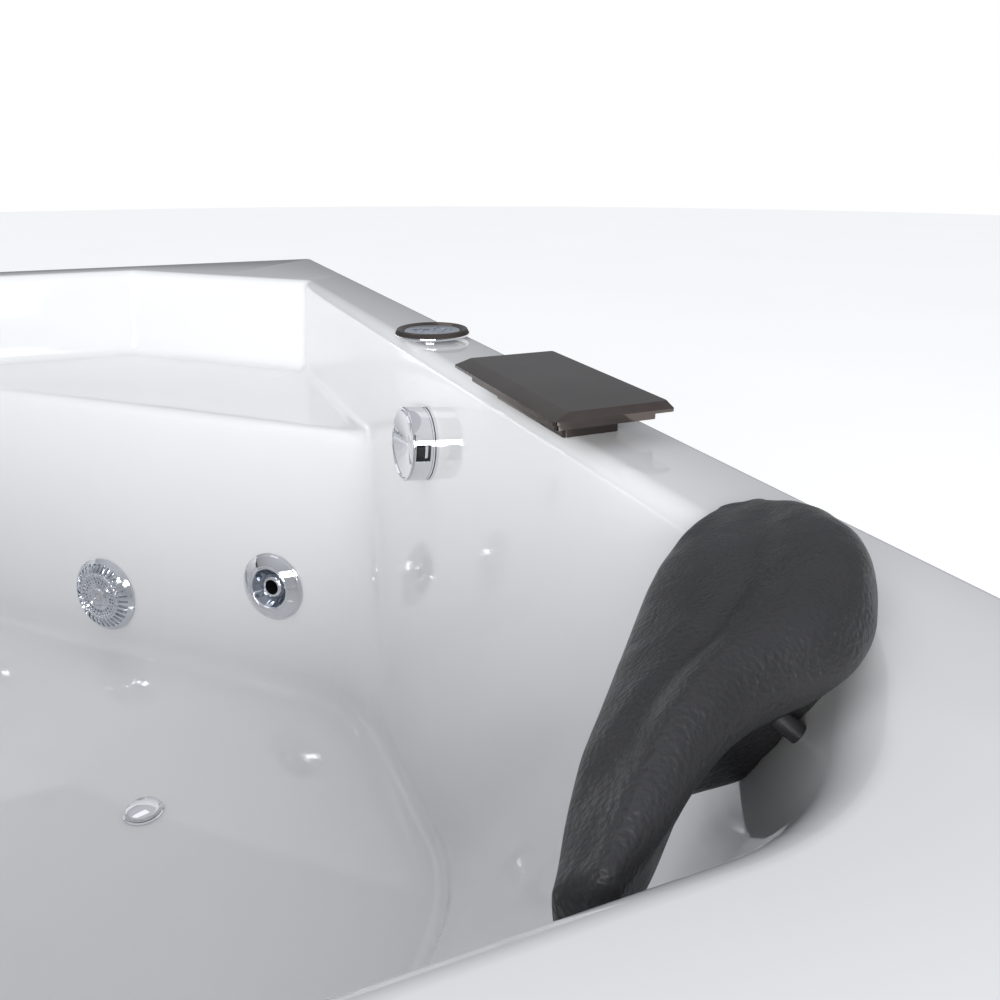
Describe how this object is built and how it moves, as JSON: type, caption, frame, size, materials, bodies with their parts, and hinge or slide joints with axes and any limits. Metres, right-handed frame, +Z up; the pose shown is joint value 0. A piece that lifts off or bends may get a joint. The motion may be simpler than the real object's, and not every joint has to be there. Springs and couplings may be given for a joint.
{
  "type": "corner jetted bath",
  "caption": "Corner jetted bath with a cut-off front corner, shelf, jets, suction cover, overflow knob, pop-up waste, key pad, waterfall spout, pump, frame and neck pillows.",
  "frame": {"origin": "on the floor under the middle of the tub's box", "axes": "+Z up; the two wall sides face +X and +Y, the cut corner faces -X -Y"},
  "size_m": [1.5, 1.5, 0.6393],
  "materials": {
    "acrylic": "glossy white sanitary acrylic",
    "apron_acrylic": "glossy white acrylic sheet",
    "chrome": "polished chrome plate",
    "dark_chrome": "smoked chrome plate",
    "steel": "galvanised square tube",
    "zinc": "zinc plated fixing",
    "brass": "turned brass",
    "white_plastic": "white moulded plastic",
    "grey_plastic": "grey moulded plastic",
    "black_plastic": "black moulded plastic",
    "clear_hose": "ribless flexible air hose",
    "motor_paint": "dark painted aluminium casting",
    "pillow_foam": "black moulded foam skin with a fine grain",
    "display": "blue grey display window",
    "key_rubber": "navy soft key",
    "timber": "planed softwood bearer"
  },
  "bodies": {
    "tub": {"air_body": "chrome", "air_manifold": "clear_hose", "apron_blocks": "black_plastic", "apron_front": "apron_acrylic", "apron_screws": "chrome", "apron_sides": "apron_acrylic", "base_frame": "steel", "drain_body": "brass", "drain_flange": "chrome", "drain_nut": "brass", "floor_bearers": "timber", "foot_bolts": "zinc", "foot_nuts": "zinc", "foot_pads": "black_plastic", "jet_bodies": "white_plastic", "lift_cable": "zinc", "mixing_pipe": "brass", "motor_body": "motor_paint", "motor_cover": "black_plastic", "outlet_cross": "white_plastic", "overflow_body": "brass", "overflow_elbow": "white_plastic", "overflow_pipe": "white_plastic", "pad_housing": "chrome", "pad_lens": "display", "pillow_far": "pillow_foam", "pillow_near": "pillow_foam", "pillow_studs": "white_plastic", "pressure_back": "white_plastic", "pressure_front": "white_plastic", "pump_base": "black_plastic", "pump_housing": "grey_plastic", "pump_unions": "white_plastic", "rim_nuts": "brass", "rim_posts": "steel", "spout_body": "dark_chrome", "suction_body": "white_plastic", "suction_cover": "chrome", "suction_pipe": "white_plastic", "suction_screw": "chrome", "tub_shell": "acrylic", "valve_bodies": "chrome", "wall_nuts": "white_plastic"},
    "jet_ring_1_body": {"jet_ring_1": "chrome"},
    "jet_ring_2_body": {"jet_ring_2": "chrome"},
    "jet_ring_3_body": {"jet_ring_3": "chrome"},
    "jet_ring_4_body": {"jet_ring_4": "chrome"},
    "jet_nozzle_1_body": {"jet_nozzle_1": "chrome"},
    "jet_nozzle_2_body": {"jet_nozzle_2": "chrome"},
    "jet_nozzle_3_body": {"jet_nozzle_3": "chrome"},
    "jet_nozzle_4_body": {"jet_nozzle_4": "chrome"},
    "overflow_knob_body": {"overflow_knob": "chrome"},
    "drain_plug_body": {"drain_plug": "chrome"},
    "pad_key_1_body": {"pad_key_1": "key_rubber"},
    "pad_key_2_body": {"pad_key_2": "key_rubber"},
    "pad_key_3_body": {"pad_key_3": "key_rubber"},
    "handle_hot_body": {"handle_hot": "chrome"},
    "handle_cold_body": {"handle_cold": "chrome"},
    "air_knob_body": {"air_knob": "chrome"},
    "impeller_body": {"impeller": "grey_plastic"}
  },
  "joints": [
    {"name": "jet_1_flow", "type": "hinge", "parent": "tub", "child": "jet_ring_1_body", "pos_m": [0.55967, 0.17501, 0.28], "axis": [-0.7024, -0.7024, 0.1147], "range_deg": [0, 90]},
    {"name": "jet_1_tilt", "type": "hinge", "parent": "jet_ring_1_body", "child": "jet_nozzle_1_body", "pos_m": [0.56529, 0.18063, 0.27908], "axis": [0.7071, -0.7071, 0], "range_deg": [-12, 12]},
    {"name": "jet_2_flow", "type": "hinge", "parent": "tub", "child": "jet_ring_2_body", "pos_m": [0.17501, 0.55967, 0.28], "axis": [-0.7024, -0.7024, 0.1147], "range_deg": [0, 90]},
    {"name": "jet_2_tilt", "type": "hinge", "parent": "jet_ring_2_body", "child": "jet_nozzle_2_body", "pos_m": [0.18063, 0.56529, 0.27908], "axis": [0.7071, -0.7071, 0], "range_deg": [-12, 12]},
    {"name": "jet_3_flow", "type": "hinge", "parent": "tub", "child": "jet_ring_3_body", "pos_m": [-0.42681, -0.15811, 0.28], "axis": [0.7032, 0.7032, 0.105], "range_deg": [0, 90]},
    {"name": "jet_3_tilt", "type": "hinge", "parent": "jet_ring_3_body", "child": "jet_nozzle_3_body", "pos_m": [-0.43243, -0.16373, 0.27916], "axis": [-0.7071, 0.7071, 0], "range_deg": [-12, 12]},
    {"name": "jet_4_flow", "type": "hinge", "parent": "tub", "child": "jet_ring_4_body", "pos_m": [-0.15811, -0.42681, 0.28], "axis": [0.7032, 0.7032, 0.105], "range_deg": [0, 90]},
    {"name": "jet_4_tilt", "type": "hinge", "parent": "jet_ring_4_body", "child": "jet_nozzle_4_body", "pos_m": [-0.16373, -0.43243, 0.27916], "axis": [-0.7071, 0.7071, 0], "range_deg": [-12, 12]},
    {"name": "overflow_turn", "type": "hinge", "parent": "tub", "child": "overflow_knob_body", "pos_m": [0.67307, -0.089, 0.523], "axis": [-0.996, 0, 0.0896], "range_deg": [0, 90]},
    {"name": "plug_lift", "type": "slide", "parent": "tub", "child": "drain_plug_body", "axis": [0, 0, 1], "range_m": [0, 0.01]},
    {"name": "key_1_press", "type": "slide", "parent": "tub", "child": "pad_key_1_body", "axis": [0, 0, -1], "range_m": [0, 0.0008], "stiffness_N_per_m": 600},
    {"name": "key_2_press", "type": "slide", "parent": "tub", "child": "pad_key_2_body", "axis": [0, 0, -1], "range_m": [0, 0.0008], "stiffness_N_per_m": 600},
    {"name": "key_3_press", "type": "slide", "parent": "tub", "child": "pad_key_3_body", "axis": [0, 0, -1], "range_m": [0, 0.0008], "stiffness_N_per_m": 600},
    {"name": "hot_turn", "type": "hinge", "parent": "tub", "child": "handle_hot_body", "pos_m": [0.05, 0.714, 0.6], "axis": [0, 0, 1], "range_deg": [0, 90]},
    {"name": "cold_turn", "type": "hinge", "parent": "tub", "child": "handle_cold_body", "pos_m": [0.19, 0.714, 0.6], "axis": [0, 0, 1], "range_deg": [0, 90]},
    {"name": "air_turn", "type": "hinge", "parent": "tub", "child": "air_knob_body", "pos_m": [-0.19, 0.714, 0.6], "axis": [0, 0, 1], "range_deg": [0, 270]},
    {"name": "impeller_spin", "type": "hinge", "parent": "tub", "child": "impeller_body", "pos_m": [0.545, -0.575, 0.164], "axis": [0.7071, 0.7071, 0], "continuous": true}
  ],
  "couplings": [
    {"joint": "plug_lift", "follows": "overflow_turn", "m_per_rad": 0.0063}
  ]
}
